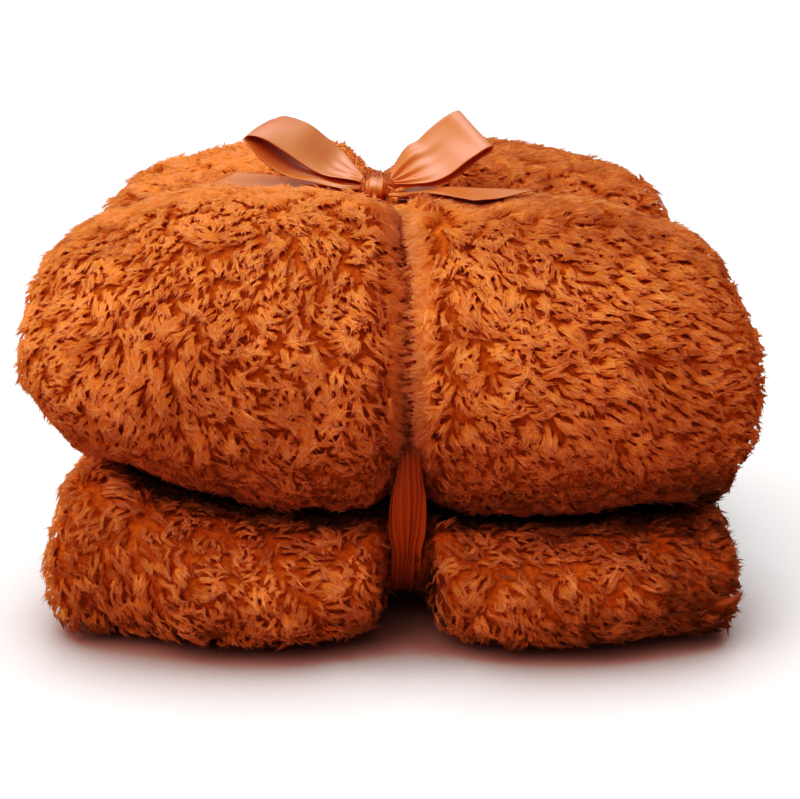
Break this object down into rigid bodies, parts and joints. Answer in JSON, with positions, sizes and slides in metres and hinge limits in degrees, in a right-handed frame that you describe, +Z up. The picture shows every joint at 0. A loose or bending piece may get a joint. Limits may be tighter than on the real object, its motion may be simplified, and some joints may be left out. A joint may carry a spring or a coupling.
{
  "type": "folded fleece blanket",
  "caption": "Long-pile teddy fleece blanket folded into a thick soft stack, held by a satin ribbon that crosses over it, presses grooves into it and ends in a bow on top.",
  "frame": {"origin": "middle of the underside of the whole", "axes": "+X to the right seen from the front, -Y to the front where the rolled folds show, +Z up"},
  "size_m": [0.4456, 0.3604, 0.3148],
  "materials": {
    "fleece": "long curly pile, matt",
    "satin": "satin weave, soft sheen"
  },
  "bodies": {
    "root": {"blanket": "fleece", "ribbon_band_lengthwise": "satin", "ribbon_band_crosswise": "satin", "bow_knot": "satin", "bow_loop_left": "satin", "bow_loop_right": "satin", "ribbon_tail_left": "satin", "ribbon_tail_right": "satin"}
  },
  "joints": []
}
